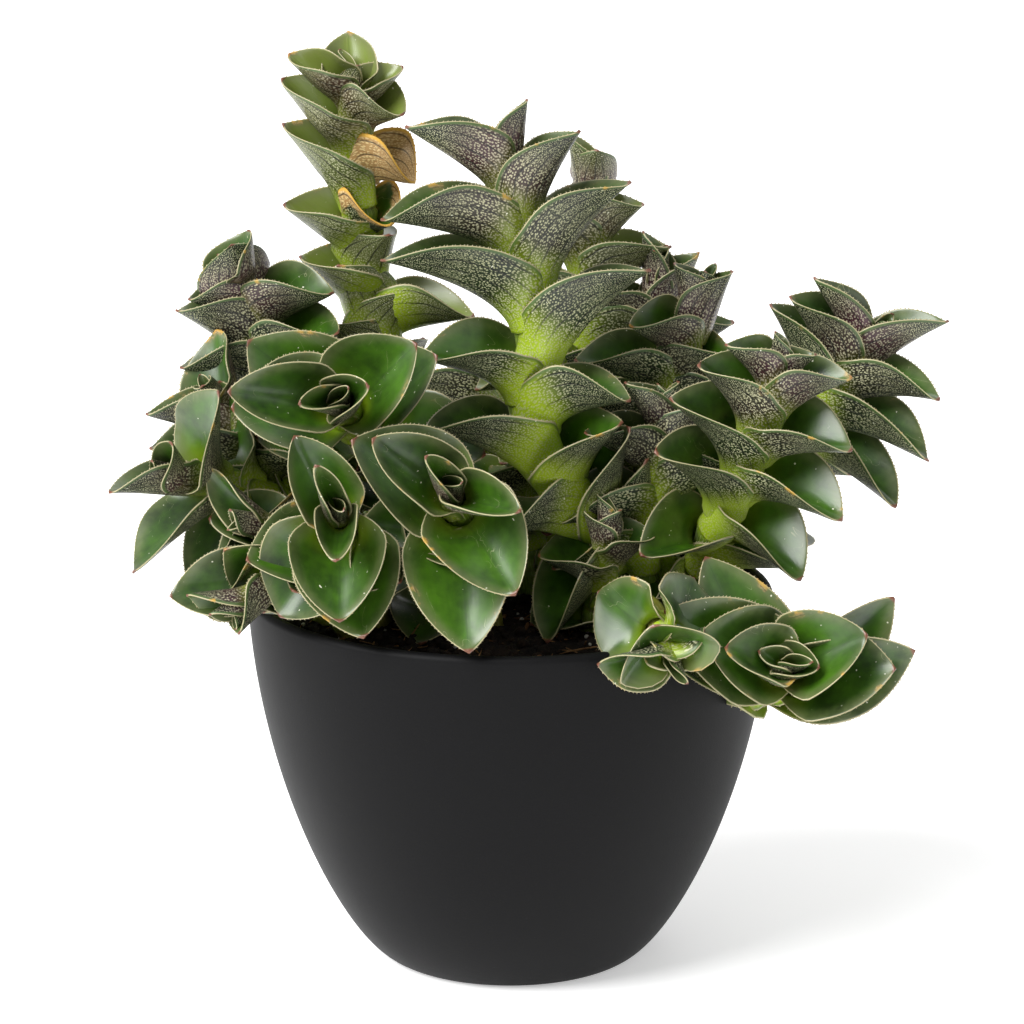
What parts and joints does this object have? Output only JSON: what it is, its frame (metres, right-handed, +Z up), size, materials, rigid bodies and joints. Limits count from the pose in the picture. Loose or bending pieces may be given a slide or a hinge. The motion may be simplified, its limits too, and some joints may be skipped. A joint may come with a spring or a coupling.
{
  "type": "potted chain plant",
  "caption": "Chain plant with trailing shoots of boat-shaped, stem-clasping leaves, growing from soil in a round matte pot with a rolled lip.",
  "frame": {"origin": "middle of the pot's flat base, on the surface that it stands on", "axes": "+Z up, +X to the right and -Y towards the front of the plant"},
  "size_m": [0.1974, 0.1445, 0.2191],
  "materials": {
    "pot": "matte",
    "soil": "matte",
    "stem": "satin",
    "leaf": "satin"
  },
  "bodies": {
    "root": {"pot": "pot", "potting_soil": "soil", "main_stem": "stem", "tall_stem": "stem", "upper_left_stem": "stem", "front_left_stem": "stem", "front_middle_stem": "stem", "hanging_stem": "stem", "rim_stem": "stem", "front_right_stem": "stem", "far_right_stem": "stem", "middle_right_stem": "stem", "inner_right_stem": "stem", "rear_middle_stem": "stem", "rear_right_stem": "stem", "far_left_stem": "stem", "low_left_stem": "stem", "rim_left_stem": "stem", "bud_left_stem": "stem", "side_left_stem": "stem", "back_left_stem": "stem", "back_middle_stem": "stem", "back_right_stem": "stem", "side_right_stem": "stem", "back_corner_stem": "stem", "inner_back_stem": "stem", "inner_left_stem": "stem", "inner_middle_stem": "stem", "main_leaf_01": "leaf", "main_leaf_02": "leaf", "main_leaf_03": "leaf", "main_leaf_04": "leaf", "main_leaf_05": "leaf", "main_leaf_06": "leaf", "main_leaf_07": "leaf", "main_leaf_08": "leaf", "main_leaf_09": "leaf", "main_leaf_10": "leaf", "main_leaf_11": "leaf", "upper_left_leaf_01": "leaf", "upper_left_leaf_02": "leaf", "upper_left_leaf_03": "leaf", "front_left_leaf_01": "leaf", "front_left_leaf_02": "leaf", "front_left_leaf_03": "leaf", "front_middle_leaf_01": "leaf", "front_middle_leaf_02": "leaf", "front_middle_leaf_03": "leaf", "hanging_leaf_01": "leaf", "hanging_leaf_02": "leaf", "hanging_leaf_03": "leaf", "front_right_leaf_01": "leaf", "front_right_leaf_02": "leaf", "front_right_leaf_03": "leaf", "front_right_leaf_04": "leaf", "front_right_leaf_05": "leaf", "far_right_leaf_01": "leaf", "far_right_leaf_02": "leaf", "far_right_leaf_03": "leaf", "far_right_leaf_04": "leaf"}
  },
  "joints": []
}
